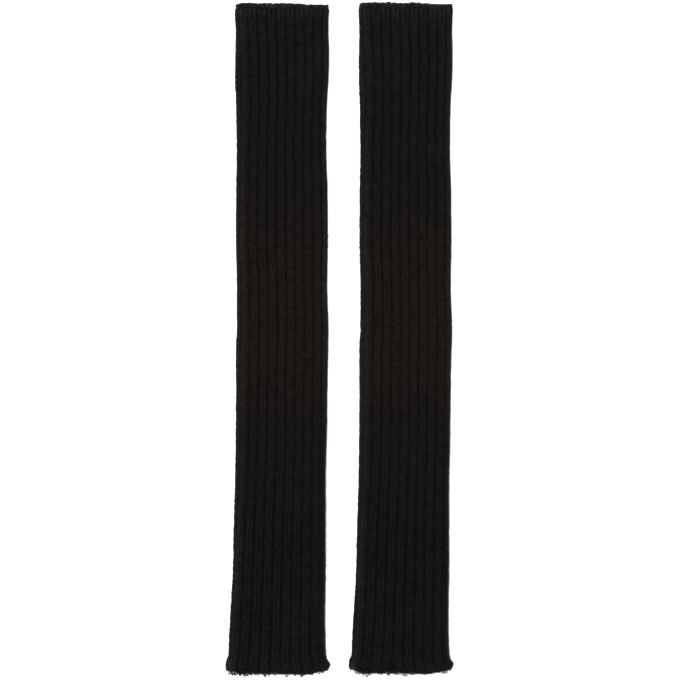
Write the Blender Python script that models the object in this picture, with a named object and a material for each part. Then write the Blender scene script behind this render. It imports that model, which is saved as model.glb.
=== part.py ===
# Pair of long ribbed arm warmers, laid flat side by side with their start bands at the top.
#
# Metres, +Z up. +Y runs up an arm warmer, towards its start band, and +X runs across the pair.
# The surface that they lie on is z = 0, and the origin is the middle of the pair on it.
# Each arm warmer is one flattened knitted tube: its back layer rests on the surface and its
# front layer lies on the back one. The wall is plain inside and its ribs are raised outside.

import math
from collections import namedtuple

import bmesh
import bpy
from mathutils import Matrix, Vector

MM = 0.001

# One arm warmer, from its start edge to its cast-off edge
LENGTH = 586.0 * MM
BAND_LENGTH = 12.6 * MM
CAST_OFF_LENGTH = 17.0 * MM
STITCH_GAP = 0.3 * MM

# The knitted wall and its two layers
FRONT_WALL = 2.6 * MM
BACK_WALL = 2.3 * MM
MIDDLE_DIP = 1.0 * MM
DIP_REACH = 11.0 * MM
LIP = 0.7 * MM

# The 2 by 2 rib: grooves are counted on the front, between the two side folds. The stretched
# middle grooves lie further right than even steps would, by up to GROOVE_BOW pitches.
FRONT_GROOVES = 9
LAST_GROOVE_SHARE = 0.929
GROOVE_BOW = 0.15
BOW_PITCHES = 11
RIB_HEIGHT = 1.0 * MM
BAND_RIB_HEIGHT = 0.6 * MM
CAST_OFF_RIB_HEIGHT = 0.8 * MM
CENTRE_DENT = 0.45
SCALLOP = 0.5 * MM

# Where the relief of the ribs ends, as an angle round the fold from the top
RELIEF_KEPT_TO = math.radians(120)
RELIEF_GONE_AT = math.radians(165)

# The front layer's start edge lies this far below the back layer's, so the mouth shows
MOUTH_STEP = 1.4 * MM

# Depths below the top, as shares of the thickness, where the front layer turns into the back one
FRONT_DOWN_TO = 0.25
BACK_UP_TO = 0.75

LONGEST_RING_STEP = 19.0 * MM
SHARP_EDGE = math.radians(50)

# The photographed pair: the right one lies beside the left one, a little higher and turned
PAIR_SPACING = 107.5 * MM
RIGHT_RAISE = 0.6 * MM
RIGHT_TURN = math.radians(-0.04)

# Sections across one arm warmer, at distances below its start edge. left and right are the
# half-widths from its own centre line, first_groove is the place of the leftmost front groove
# as a share of the width, groove is a groove's width and height is the thickness at the folds.
Section = namedtuple("Section", "below left right first_groove groove height")
SECTIONS_MM = (
    Section(0.0, 40.3, 41.0, 0.131, 1.9, 6.2),
    Section(5.0, 40.5, 41.2, 0.131, 1.9, 6.2),
    Section(15.0, 40.3, 40.8, 0.132, 1.9, 6.4),
    Section(26.0, 39.7, 40.7, 0.134, 1.8, 6.4),
    Section(41.0, 39.8, 41.2, 0.140, 1.8, 6.5),
    Section(63.0, 40.5, 40.9, 0.158, 1.8, 6.4),
    Section(89.0, 39.6, 39.5, 0.158, 1.8, 6.2),
    Section(128.0, 38.8, 38.8, 0.132, 1.8, 6.1),
    Section(167.0, 39.3, 39.9, 0.133, 1.9, 6.3),
    Section(207.0, 39.6, 40.2, 0.128, 1.9, 6.4),
    Section(246.0, 38.6, 39.7, 0.138, 1.9, 6.3),
    Section(285.0, 38.6, 40.8, 0.138, 1.9, 6.3),
    Section(298.0, 39.5, 40.6, 0.138, 1.9, 6.4),
    Section(337.0, 39.4, 39.8, 0.137, 2.0, 6.4),
    Section(376.0, 39.6, 39.6, 0.138, 2.1, 6.3),
    Section(415.0, 40.3, 38.7, 0.130, 2.3, 6.4),
    Section(455.0, 41.4, 38.7, 0.116, 2.5, 6.5),
    Section(494.0, 42.3, 38.6, 0.107, 2.6, 6.4),
    Section(533.0, 44.5, 38.1, 0.114, 2.6, 6.3),
    Section(555.0, 45.7, 38.4, 0.111, 2.6, 6.2),
    Section(568.0, 46.4, 39.0, 0.107, 2.6, 6.2),
    Section(574.0, 47.9, 39.9, 0.105, 2.6, 6.3),
    Section(578.0, 48.2, 42.2, 0.105, 2.6, 6.3),
    Section(586.0, 46.9, 40.2, 0.105, 2.6, 6.2),
)

# Outline of the two open edges: how far each falls short of the full length, by its place
# across the width
EdgePoint = namedtuple("EdgePoint", "across short")
START_EDGE_MM = (
    EdgePoint(0.00, 2.8),
    EdgePoint(0.02, 1.1),
    EdgePoint(0.06, 0.3),
    EdgePoint(0.14, 0.1),
    EdgePoint(0.30, 0.2),
    EdgePoint(0.45, 0.5),
    EdgePoint(0.60, 0.4),
    EdgePoint(0.80, 1.6),
    EdgePoint(0.94, 2.0),
    EdgePoint(1.00, 2.6),
)
CAST_OFF_EDGE_MM = (
    EdgePoint(0.00, 7.2),
    EdgePoint(0.03, 3.8),
    EdgePoint(0.07, 2.5),
    EdgePoint(0.13, 0.2),
    EdgePoint(0.20, 0.9),
    EdgePoint(0.50, 1.2),
    EdgePoint(0.77, 1.1),
    EdgePoint(0.88, 2.4),
    EdgePoint(0.96, 3.8),
    EdgePoint(1.00, 6.8),
)

# Rings of the two end pieces, from the seam to the open edge: share of the piece's length, share
# of the edge's outline that the ring follows, and share of the lip's rounding
Station = namedtuple("Station", "share reach lip")
START_BAND_STATIONS = (
    Station(0.00, 0.00, 0.0),
    Station(0.45, 0.45, 0.0),
    Station(0.93, 0.95, 0.0),
    Station(1.00, 1.00, 1.0),
)
CAST_OFF_STATIONS = (
    Station(0.00, 0.00, 0.0),
    Station(0.30, 0.20, 0.0),
    Station(0.60, 0.55, 0.0),
    Station(0.94, 0.93, 0.0),
    Station(1.00, 1.00, 1.0),
)

# Points of a rib on a ring: how far each lies from the groove before it, in rib pitches or, for
# a shoulder, in groove widths, and its depth below the crown as a share of the rib height
RibPoint = namedtuple("RibPoint", "pitches grooves depth")
WIDE_RIB = (
    RibPoint(0.0, 0.5, 0.24),
    RibPoint(0.36, 0.0, 0.0),
    RibPoint(0.64, 0.0, 0.0),
    RibPoint(1.0, -0.5, 0.24),
    RibPoint(1.0, 0.0, 1.0),
)
# The fine rib halves each pitch; the half-way dent has its own depth
FINE_SHOULDERS = (0.16, 0.34)
FINE_SHOULDER_DEPTH = 0.15

# Points of a ring past its ribs: on the right fold, across the back layer and on the left fold
RIGHT_FOLD_POINTS = 1
BACK_POINTS = 5
LEFT_FOLD_POINTS = 3

# Colour and roughness of the black knit, by piece
Finish = namedtuple("Finish", "colour roughness")
FINISHES = {
    "rib_tube": Finish((0.0095, 0.0088, 0.0092, 1.0), 0.95),
    "start_band": Finish((0.0115, 0.0103, 0.0108, 1.0), 0.93),
    "cast_off_edge": Finish((0.0105, 0.0095, 0.0102, 1.0), 0.92),
}


def clear_scene():
    for old in list(bpy.data.objects):
        bpy.data.objects.remove(old, do_unlink=True)


def smooth_value(rows, column, place):
    """A table column's value at a place, on a smooth curve through the table's rows."""
    places = [row[0] for row in rows]
    values = [getattr(row, column) for row in rows]
    place = min(max(place, places[0]), places[-1])
    k = max(i for i in range(len(rows) - 1) if places[i] <= place)

    def slope(i):
        if i in (0, len(rows) - 1):
            return 0.0
        before = (values[i] - values[i - 1]) / (places[i] - places[i - 1])
        after = (values[i + 1] - values[i]) / (places[i + 1] - places[i])
        return 0.0 if before * after <= 0 else 2 * before * after / (before + after)

    step = places[k + 1] - places[k]
    t = (place - places[k]) / step
    rise = values[k] + (values[k + 1] - values[k]) * t * t * (3 - 2 * t)
    return rise + step * t * (1 - t) * (slope(k) * (1 - t) - slope(k + 1) * t)


def fade(value, start, end):
    """1 up to start, 0 from end on, and a smooth fall between."""
    t = min(max((value - start) / (end - start), 0.0), 1.0)
    return 1 - t * t * (3 - 2 * t)


class CrossSection:
    """The flattened tube at one distance below the start edge, with z up and x across."""

    def __init__(self, below):
        def at(column):
            return smooth_value(SECTIONS_MM, column, below / MM)

        self.left = at("left") * MM
        self.right = at("right") * MM
        self.groove = at("groove") * MM
        self.height = at("height") * MM
        self.radius = self.height / 2
        self.width = self.left + self.right
        self.top = self.width - 2 * self.radius
        first = at("first_groove")
        self.pitch = (LAST_GROOVE_SHARE - first) * self.width / (FRONT_GROOVES - 1)
        self.first_groove = first * self.width - self.radius

    def dip(self, along):
        edge = min(along, self.top - along)
        return MIDDLE_DIP * (1 - math.exp(-((max(edge, 0.0) / DIP_REACH) ** 2)))

    def place(self, along):
        """Point and outward direction at a distance along the front, past 0 or top on a fold."""
        if 0 <= along <= self.top:
            x = self.radius - self.left + along
            return (x, self.height - self.dip(along)), (0.0, 1.0), 0.0
        side = -1 if along < 0 else 1
        angle = (-along if along < 0 else along - self.top) / self.radius
        centre = self.radius - self.left if along < 0 else self.right - self.radius
        out = (side * math.sin(angle), math.cos(angle))
        x = centre + self.radius * out[0]
        return (x, self.radius + self.radius * out[1]), out, angle


def fine_rib(dent):
    """Points of one pitch of 1 by 1 rib, or of a 2 by 2 rib whose two stitch columns part."""
    points = []
    for half, depth in ((0.0, dent), (0.5, 1.0)):
        points += [RibPoint(half + offset, 0.0, FINE_SHOULDER_DEPTH) for offset in FINE_SHOULDERS]
        points.append(RibPoint(half + 0.5, 0.0, depth))
    return tuple(points)


def rib_points(section, rib):
    """(distance along the front, depth share) from before the first groove to past the last."""
    first = section.first_groove - section.pitch

    def along(number, point):
        pitches = number + point.pitches
        bowed = min(max((pitches - 1) / BOW_PITCHES, 0.0), 1.0)
        pitches += GROOVE_BOW * math.sin(math.pi * bowed)
        return first + pitches * section.pitch + point.grooves * section.groove

    points = [(along(-1, rib[-2]), rib[-2].depth), (along(-1, rib[-1]), rib[-1].depth)]
    for number in range(FRONT_GROOVES + 1):
        points += [(along(number, point), point.depth) for point in rib]
    points.append((along(FRONT_GROOVES + 1, rib[0]), rib[0].depth))
    return points


def ring(section, rib, rib_height, lip=0.0):
    """Outer points, inner points and the outer index beside each inner point, in one section.

    A point is (x, z, share across the width, 0 on the back layer to 1 on the front layer, depth).
    """
    outer, inner, beside = [], [], []

    def add(along, depth, with_inner):
        (x, z), (out_x, out_z), angle = section.place(along)
        kept = fade(angle, RELIEF_KEPT_TO, RELIEF_GONE_AT)
        cut = depth * kept * rib_height + lip
        front = fade(1 - z / section.height, FRONT_DOWN_TO, BACK_UP_TO)
        share = (x + section.left) / section.width
        outer.append((x - out_x * cut, z - out_z * cut, share, front, depth * kept))
        if with_inner:
            wall = BACK_WALL + (FRONT_WALL - BACK_WALL) * front - lip / 2
            beside.append(len(outer) - 1)
            inner.append((x - out_x * wall, z - out_z * wall, share, front, 0.0))

    ribbed = rib_points(section, rib)
    for along, depth in ribbed:
        add(along, depth, depth == 1.0)
    fold = math.pi * section.radius
    last = ribbed[-1][0] - section.top
    for number in range(1, RIGHT_FOLD_POINTS + 1):
        step = number / (RIGHT_FOLD_POINTS + 1)
        add(section.top + last + (fold - last) * step, 0.0, True)
    for number in range(BACK_POINTS):
        x = section.right - section.radius - section.top * number / (BACK_POINTS - 1)
        share = (x + section.left) / section.width
        beside.append(len(outer))
        outer.append((x, lip, share, 0.0, 0.0))
        inner.append((x, BACK_WALL - lip / 2, share, 0.0, 0.0))
    first = -ribbed[0][0]
    for number in range(1, LEFT_FOLD_POINTS + 1):
        step = number / (LEFT_FOLD_POINTS + 1)
        add(-(fold + (first - fold) * step), 0.0, True)
    return outer, inner, beside


def start_edge_short(share, front, _):
    """How far a point of the start edge falls short of the full length."""
    share = min(max(share, 0.0), 1.0)
    mouth = MOUTH_STEP * front * math.sin(math.pi * share)
    return smooth_value(START_EDGE_MM, "short", share) * MM + mouth


def cast_off_edge_short(share, front, depth):
    """The same for the cast-off edge, which is scalloped by its stitch columns."""
    share = min(max(share, 0.0), 1.0)
    scallop = SCALLOP * max(depth, 1 - front)
    return smooth_value(CAST_OFF_EDGE_MM, "short", share) * MM + scallop


def loft(mesh_name, rings):
    """One closed wall: outer skin, inner skin and the two open ends' rims."""
    shape = bmesh.new()
    layers = []
    for outer, inner, _ in rings:
        layers.append(([shape.verts.new(p) for p in outer], [shape.verts.new(p) for p in inner]))
    for (outer_a, inner_a), (outer_b, inner_b) in zip(layers, layers[1:]):
        for loop_a, loop_b in ((outer_a, outer_b), (inner_a, inner_b)):
            for i, point in enumerate(loop_a):
                j = (i + 1) % len(loop_a)
                shape.faces.new((point, loop_a[j], loop_b[j], loop_b[i]))
    beside = rings[0][2]
    rims = []
    for outer, inner in (layers[0], layers[-1]):
        for k, start in enumerate(beside):
            following = (k + 1) % len(beside)
            end = beside[following]
            wraps = end < start
            stretch = outer[start:] + outer[: end + 1] if wraps else outer[start : end + 1]
            rims.append(shape.faces.new(stretch + [inner[following], inner[k]]))
    bmesh.ops.triangulate(shape, faces=rims, ngon_method="EAR_CLIP")
    bmesh.ops.recalc_face_normals(shape, faces=shape.faces[:])
    mesh = bpy.data.meshes.new(mesh_name)
    shape.to_mesh(mesh)
    shape.free()
    mesh.shade_smooth()
    mesh.set_sharp_from_angle(angle=SHARP_EDGE)
    return mesh


def piece_mesh(name, rings_at, rib, rib_height, edge_short=None):
    """Mesh of one piece, from its rings: (distance below the start edge, signed reach, lip).

    A positive reach moves the open edge's points down from the start edge, a negative one up
    from the cast-off edge.
    """
    rings = []
    for below, reach, lip in rings_at:
        outer, inner, beside = ring(CrossSection(below), rib, rib_height, lip * LIP)
        loops = []
        for points in (outer, inner):
            loop = []
            for x, z, share, front, depth in points:
                short = edge_short(share, front, depth) if edge_short else 0.0
                loop.append(Vector((x, -(below + reach * short), z)))
            loops.append(loop)
        rings.append((*loops, beside))
    return loft(name, rings)


def rib_tube_mesh():
    start = BAND_LENGTH + STITCH_GAP
    length = LENGTH - CAST_OFF_LENGTH - STITCH_GAP - start
    steps = math.ceil(length / LONGEST_RING_STEP)
    rings_at = [(start + length * i / steps, 0.0, 0.0) for i in range(steps + 1)]
    return piece_mesh("rib_tube", rings_at, WIDE_RIB, RIB_HEIGHT)


def start_band_mesh():
    rings_at = [(BAND_LENGTH * (1 - s.share), s.reach, s.lip) for s in START_BAND_STATIONS]
    rib = fine_rib(1.0)
    return piece_mesh("start_band", rings_at, rib, BAND_RIB_HEIGHT, start_edge_short)


def cast_off_edge_mesh():
    start = LENGTH - CAST_OFF_LENGTH
    rings_at = [(start + CAST_OFF_LENGTH * s.share, -s.reach, s.lip) for s in CAST_OFF_STATIONS]
    rib = fine_rib(CENTRE_DENT)
    return piece_mesh("cast_off_edge", rings_at, rib, CAST_OFF_RIB_HEIGHT, cast_off_edge_short)


def knit_material(name):
    finish = FINISHES[name]
    material = bpy.data.materials.new(name)
    material.use_nodes = True
    shader = material.node_tree.nodes["Principled BSDF"]
    shader.inputs["Base Color"].default_value = finish.colour
    shader.inputs["Roughness"].default_value = finish.roughness
    shader.inputs["Metallic"].default_value = 0.0
    return material


def lay_down(name, mesh, material, where):
    """A copy of a piece's mesh as one object, laid where its arm warmer lies."""
    laid = mesh.copy()
    laid.name = name
    laid.transform(where)
    laid.materials.append(material)
    placed = bpy.data.objects.new(name, laid)
    bpy.context.scene.collection.objects.link(placed)
    return placed


def centre_on_origin(placed):
    corners = [vertex.co for piece in placed for vertex in piece.data.vertices]
    middle = [(min(c[i] for c in corners) + max(c[i] for c in corners)) / 2 for i in (0, 1)]
    shift = Matrix.Translation((-middle[0], -middle[1], 0.0))
    for piece in placed:
        piece.data.transform(shift)


def main():
    clear_scene()
    pieces = {
        "rib_tube": rib_tube_mesh(),
        "start_band": start_band_mesh(),
        "cast_off_edge": cast_off_edge_mesh(),
    }
    materials = {name: knit_material(name) for name in pieces}
    right = Matrix.Translation((PAIR_SPACING, RIGHT_RAISE, 0.0))
    sides = {"left": Matrix.Identity(4), "right": right @ Matrix.Rotation(RIGHT_TURN, 4, "Z")}
    placed = []
    for side, where in sides.items():
        for name, mesh in pieces.items():
            placed.append(lay_down(f"{side}_{name}", mesh, materials[name], where))
    for mesh in pieces.values():
        bpy.data.meshes.remove(mesh)
    centre_on_origin(placed)


main()
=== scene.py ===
import math
from collections import namedtuple

import bmesh
import bpy
from mathutils import Matrix, Vector, noise


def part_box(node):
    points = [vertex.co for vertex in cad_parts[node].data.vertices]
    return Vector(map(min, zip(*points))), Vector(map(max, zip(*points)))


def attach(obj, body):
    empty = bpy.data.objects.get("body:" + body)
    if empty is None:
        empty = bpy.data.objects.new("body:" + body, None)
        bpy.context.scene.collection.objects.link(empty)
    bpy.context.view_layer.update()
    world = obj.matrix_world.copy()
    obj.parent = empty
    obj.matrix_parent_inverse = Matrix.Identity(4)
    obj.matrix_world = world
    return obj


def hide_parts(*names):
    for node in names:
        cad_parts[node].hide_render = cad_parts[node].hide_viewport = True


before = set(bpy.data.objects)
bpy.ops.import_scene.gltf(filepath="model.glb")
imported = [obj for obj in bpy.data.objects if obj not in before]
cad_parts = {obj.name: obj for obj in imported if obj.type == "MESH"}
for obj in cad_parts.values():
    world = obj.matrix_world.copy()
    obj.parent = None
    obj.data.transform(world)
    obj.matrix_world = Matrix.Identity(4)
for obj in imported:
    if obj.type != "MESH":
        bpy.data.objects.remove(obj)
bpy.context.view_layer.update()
mm = 0.001

# The knitted tube, as it was laid down. Lengths are in mm, down from the start edge.
tube = {
    "length": 586.0,
    "bandLength": 12.6,
    "castOffLength": 17.0,
    "gap": 0.3,  # between the three stretches of knitting
    "middleDip": 1.0,  # how far the front layer sinks between its two folds
    "dipReach": 11.0,
    "frontGrooves": 9,
    "lastGroove": 0.922,  # share of the width where the rightmost front groove lies
    "frontRibs": 10,  # from the left fold's groove to the right fold's
    "backRibs": 11,
    "frontSkin": 2.8,  # depth of the inner face under the stitch crowns
    "backSkin": 2.3,
    "grooveBow": 0.13,  # the middle grooves lie this far right of even steps, in pitches
    "bowPitches": 11,
    "mouthStep": 1.4,  # the front layer's start edge is this much shorter
    "backStep": 0.9,  # and the back layer's cast-off edge
    "frontEnds": (0.25, 0.75),  # share of the way down a fold where the front turns into the back
    "cutAt": 300.0,  # where the way round the cloth is measured for its flat size
    "pairSpacing": 107.5,
    "rightRaise": 0.6,
    "rightTurn": -0.04,  # degrees
    "bandHalfWidth": 40.5,  # left half-width of the start band, which places the pair on the frame
}

Section = namedtuple("Section", "below left right firstGroove groove height")
tubeSections = (  # half-widths, share of the first groove, groove width, fold height
    Section(0, 40.3, 41.0, 0.131, 1.9, 6.2),
    Section(5, 40.5, 41.2, 0.131, 1.9, 6.2),
    Section(15, 40.3, 40.8, 0.132, 1.9, 6.4),
    Section(26, 39.7, 40.7, 0.134, 1.8, 6.4),
    Section(41, 39.8, 41.2, 0.140, 1.8, 6.5),
    Section(63, 40.5, 40.9, 0.158, 1.8, 6.4),
    Section(89, 39.6, 39.5, 0.158, 1.8, 6.2),
    Section(128, 38.8, 38.8, 0.132, 1.8, 6.1),
    Section(167, 39.3, 39.9, 0.133, 1.9, 6.3),
    Section(207, 39.6, 40.2, 0.128, 1.9, 6.4),
    Section(246, 38.6, 39.7, 0.138, 1.9, 6.3),
    Section(285, 38.6, 40.8, 0.138, 1.9, 6.3),
    Section(298, 39.5, 40.6, 0.138, 1.9, 6.4),
    Section(337, 39.4, 39.8, 0.137, 2.0, 6.4),
    Section(376, 39.6, 39.6, 0.138, 2.1, 6.3),
    Section(415, 40.3, 38.7, 0.130, 2.3, 6.4),
    Section(455, 41.4, 38.7, 0.116, 2.5, 6.5),
    Section(494, 42.3, 38.6, 0.107, 2.6, 6.4),
    Section(533, 44.5, 38.1, 0.114, 2.6, 6.3),
    Section(555, 45.7, 38.4, 0.111, 2.6, 6.2),
    Section(568, 46.4, 39.0, 0.107, 2.6, 6.2),
    Section(573, 48.1, 39.7, 0.105, 2.6, 6.3),
    Section(578, 48.7, 42.2, 0.105, 2.6, 6.3),
    Section(586, 48.2, 41.2, 0.105, 2.6, 6.2),
)

# How the two stitch columns of a rib part along the tube: spread is half the distance between
# them in rib pitches, dent is how deep the line between them is as a share of the rib height
Parting = namedtuple("Parting", "below spread dent")
wideRib = [Parting(*row) for row in (
    (0, 0.250, 0.30), (4, 0.250, 1.00), (8, 0.250, 0.95), (11, 0.230, 0.50), (15, 0.204, 0.10),
    (30, 0.195, 0.00), (370, 0.195, 0.02), (440, 0.192, 0.12), (586, 0.190, 0.20),
)]

# Outlines of the two open edges: how far each falls short of the full length, across the width
EdgePoint = namedtuple("EdgePoint", "across short")
startEdge = [EdgePoint(*point) for point in (
    (0.00, 1.8), (0.02, 1.3), (0.06, 0.8), (0.14, 0.2), (0.30, 0.2),
    (0.45, 0.5), (0.60, 0.4), (0.80, 1.6), (0.94, 1.8), (1.00, 2.2),
)]
castOffEdge = [EdgePoint(*point) for point in (
    (0.00, 5.4), (0.03, 4.2), (0.07, 3.2), (0.13, 0.5), (0.20, 0.9),
    (0.50, 0.7), (0.77, 0.5), (0.88, 2.4), (0.96, 3.8), (1.00, 6.8),
)]


def smoothValue(rows, column, place):  # a monotone curve through a table's rows
    places = [row[0] for row in rows]
    values = [getattr(row, column) for row in rows]
    place = min(max(place, places[0]), places[-1])
    k = max(i for i in range(len(rows) - 1) if places[i] <= place)

    def slope(i):
        if i in (0, len(rows) - 1):
            return 0.0
        before = (values[i] - values[i - 1]) / (places[i] - places[i - 1])
        after = (values[i + 1] - values[i]) / (places[i + 1] - places[i])
        return 0.0 if before * after <= 0 else 2 * before * after / (before + after)

    step = places[k + 1] - places[k]
    t = (place - places[k]) / step
    rise = values[k] + (values[k + 1] - values[k]) * t * t * (3 - 2 * t)
    return rise + step * t * (1 - t) * (slope(k) * (1 - t) - slope(k + 1) * t)


def fade(value, start, end):  # 1 up to start, 0 from end on
    t = min(max((value - start) / (end - start), 0.0), 1.0)
    return 1 - t * t * (3 - 2 * t)


class CrossSection:  # the flattened tube at one distance below its start edge
    def __init__(self, below):
        row = {column: smoothValue(tubeSections, column, below) for column in Section._fields}
        self.left, self.right, self.groove, self.height = (
            row[column] * mm for column in ("left", "right", "groove", "height")
        )
        self.radius = self.height / 2
        self.width = self.left + self.right
        self.top = self.width - 2 * self.radius
        grooves = tube["frontGrooves"]
        self.pitch = (tube["lastGroove"] - row["firstGroove"]) * self.width / (grooves - 1)
        self.first = row["firstGroove"] * self.width - self.radius
        self.round = 2 * self.top + 2 * math.pi * self.radius
        self.backPitch = (self.round - tube["frontRibs"] * self.pitch) / tube["backRibs"]

    def arc(self, place):  # place: rib pitches from the leftmost front groove
        lastFront = tube["frontRibs"] - 1
        arc = self.first + min(place, lastFront) * self.pitch
        return (arc + max(place - lastFront, 0) * self.backPitch) % self.round

    def at(self, place):  # point, outward direction and angle round a fold
        arc, fold = self.arc(place), math.pi * self.radius
        if arc <= self.top:
            edge = min(arc, self.top - arc)
            dip = tube["middleDip"] * mm * (1 - math.exp(-((edge / mm / tube["dipReach"]) ** 2)))
            return self.radius - self.left + arc, self.height - dip, 0.0
        if arc <= self.top + fold:
            angle = (arc - self.top) / self.radius
            x = self.right - self.radius + self.radius * math.sin(angle)
        elif arc <= 2 * self.top + fold:
            return self.right - self.radius - (arc - self.top - fold), 0.0, math.pi
        else:
            angle = math.pi + (arc - 2 * self.top - fold) / self.radius
            x = self.radius - self.left + self.radius * math.sin(angle)
        return x, self.radius + self.radius * math.cos(angle), angle


sectionsMade = {}


def sectionAt(below):
    if below not in sectionsMade:
        sectionsMade[below] = CrossSection(below)
    return sectionsMade[below]


# How unevenly the knitting lies: its grooves wander sideways, in pitches, and differ in depth,
# its face rises and falls, and its folds stand out. Lengths are in mm.
unevenness = {
    "wander": 0.055,
    "wanderLength": 46.0,
    "wanderPerRib": 0.37,  # how fast it changes from rib to rib
    "depth": 0.35,
    "depthLength": 13.0,
    "depthPerRib": 0.9,
    "depthSeed": 3.0,
    "swell": 0.28,
    "swellLength": 31.0,
    "swellSeed": 40.0,
    "swellEnds": (0.1, 0.5),  # share of the way down a fold over which it dies out
    "foldLift": 0.45,
}


def knitPoint(below, place, seed):  # point, outward and sideways directions, turn from the top
    spot = Vector((unevenness["wanderPerRib"] * place, below / unevenness["wanderLength"], seed))
    section = sectionAt(below)
    bow = math.sin(math.pi * min(max(place / tube["bowPitches"], 0.0), 1.0))
    lies = place + tube["grooveBow"] * bow + unevenness["wander"] * noise.noise(spot)
    x, z, angle = section.at(lies)
    out = Vector((math.sin(angle), 0.0, math.cos(angle)))
    side = Vector((math.cos(angle), 0.0, -math.sin(angle)))
    swell = Vector((x / mm, below, unevenness["swellSeed"] * seed)) / unevenness["swellLength"]
    front = fade(1 - z / section.height, *unevenness["swellEnds"])
    lift = unevenness["swell"] * noise.noise(swell) * front
    lift += unevenness["foldLift"] * math.sin(angle) ** 2
    point = Vector((x, -below * mm, z)) + out * lift * mm
    point.y += edgeReach(below, point.x, point.z)
    return point, out, side, min(angle, 2 * math.pi - angle)


def edgeReach(below, x, z):  # how far a point moves to follow the open edges
    section = sectionAt(below)
    across = min(max((x + section.left) / section.width, 0.0), 1.0)
    front = fade(1 - z / section.height, *tube["frontEnds"])
    if below < tube["bandLength"]:
        short = smoothValue(startEdge, "short", across) * mm
        short += tube["mouthStep"] * mm * front * math.sin(math.pi * across)
        return -short * (1 - below / tube["bandLength"])
    start = tube["length"] - tube["castOffLength"]
    if below > start:
        short = smoothValue(castOffEdge, "short", across)
        short += tube["backStep"] * (1 - front) * math.sin(math.pi * across)
        return short * mm * (below - start) / tube["castOffLength"]
    return 0.0


def nearEnd(below, start, end):  # 0 up to start, 1 from end on, in mm before the last edge
    return 1 - fade(below, tube["length"] - start, tube["length"] - end)


# Places of the two arm warmers, from the frame
def placeOf(side):
    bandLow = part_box("left_start_band")[0]
    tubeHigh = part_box("left_rib_tube")[1]
    x = bandLow[0] + tube["bandHalfWidth"] * mm
    y = tubeHigh[1] + (tube["bandLength"] + tube["gap"]) * mm
    place = Matrix.Translation((x, y, 0.0))
    if side == "right":
        beside = Matrix.Translation((tube["pairSpacing"] * mm, tube["rightRaise"] * mm, 0.0))
        place = place @ beside @ Matrix.Rotation(math.radians(tube["rightTurn"]), 4, "Z")
    return place


# Geometry Nodes helpers
def feed(tree, node, feeds):  # feeds: a socket to link or a plain value, by input
    for name, value in feeds.items():
        if isinstance(value, bpy.types.NodeSocket):
            tree.links.new(value, node.inputs[name])
        else:
            node.inputs[name].default_value = value


def addNode(tree, kind, feeds, **settings):
    node = tree.nodes.new(kind)
    for name, value in settings.items():
        setattr(node, name, value)
    feed(tree, node, feeds)
    return node


def startTree(name, inputs):  # inputs: (label, socket type, default or None)
    tree = bpy.data.node_groups.new(name, "GeometryNodeTree")
    sockets = tree.interface
    for label, kind, value in (("Geometry", "Geometry", None), *inputs):
        socket = sockets.new_socket(label, in_out="INPUT", socket_type="NodeSocket" + kind)
        if value is not None:
            socket.default_value = value
    sockets.new_socket("Geometry", in_out="OUTPUT", socket_type="NodeSocketGeometry")
    return tree, tree.nodes.new("NodeGroupInput").outputs, tree.nodes.new("NodeGroupOutput")


def endTree(tree, given, made, geometry):  # one real mesh, shaded smooth, in its material
    real = addNode(tree, "GeometryNodeRealizeInstances", {"Geometry": geometry})
    smooth = addNode(tree, "GeometryNodeSetShadeSmooth", {"Geometry": real.outputs[0]})
    feeds = {"Geometry": smooth.outputs[0], "Material": given["Material"]}
    worn = addNode(tree, "GeometryNodeSetMaterial", feeds)
    tree.links.new(worn.outputs[0], made.inputs[0])
    return tree


def attribute(tree, name, kind="FLOAT"):
    node = addNode(tree, "GeometryNodeInputNamedAttribute", {"Name": name}, data_type=kind)
    return node.outputs["Attribute"]


def vectorAttribute(tree, name):
    return attribute(tree, name, "FLOAT_VECTOR")


def maths(tree, operation, *values):
    return addNode(tree, "ShaderNodeMath", dict(enumerate(values)), operation=operation).outputs[0]


def scaled(tree, vector, amount):
    feeds = {0: vector, "Scale": amount}
    return addNode(tree, "ShaderNodeVectorMath", feeds, operation="SCALE").outputs[0]


def joined(tree, x, y, z):
    return addNode(tree, "ShaderNodeCombineXYZ", {"X": x, "Y": y, "Z": z}).outputs[0]


def ramp(tree, value, start, end, low, high):
    feeds = {"Value": value, "From Min": start, "From Max": end, "To Min": low, "To Max": high}
    return addNode(tree, "ShaderNodeMapRange", feeds, interpolation_type="SMOOTHSTEP").outputs[0]


# What each thing that is drawn at random adds to the seed of its piece
draws = {"place": 0, "heading": 5, "turn": 11, "length": 17, "size": 23, "kept": 37, "tone": 53}


def randomValue(tree, seed, draw, low=0.0, high=1.0, kind="FLOAT"):
    feeds = {"Seed": maths(tree, "ADD", seed, draws[draw])}
    node = addNode(tree, "FunctionNodeRandomValue", feeds, data_type=kind)
    live = [socket for socket in node.inputs if socket.enabled]
    live[0].default_value = low
    live[1].default_value = high
    return next(socket for socket in node.outputs if socket.enabled)


def randomVector(tree, seed, draw):
    return randomValue(tree, seed, draw, (-1.0,) * 3, (1.0,) * 3, "FLOAT_VECTOR")


ribInputs = (("Rib Height", "Float", 1.0 * mm), ("Parting Width", "Float", 0.1))


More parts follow.
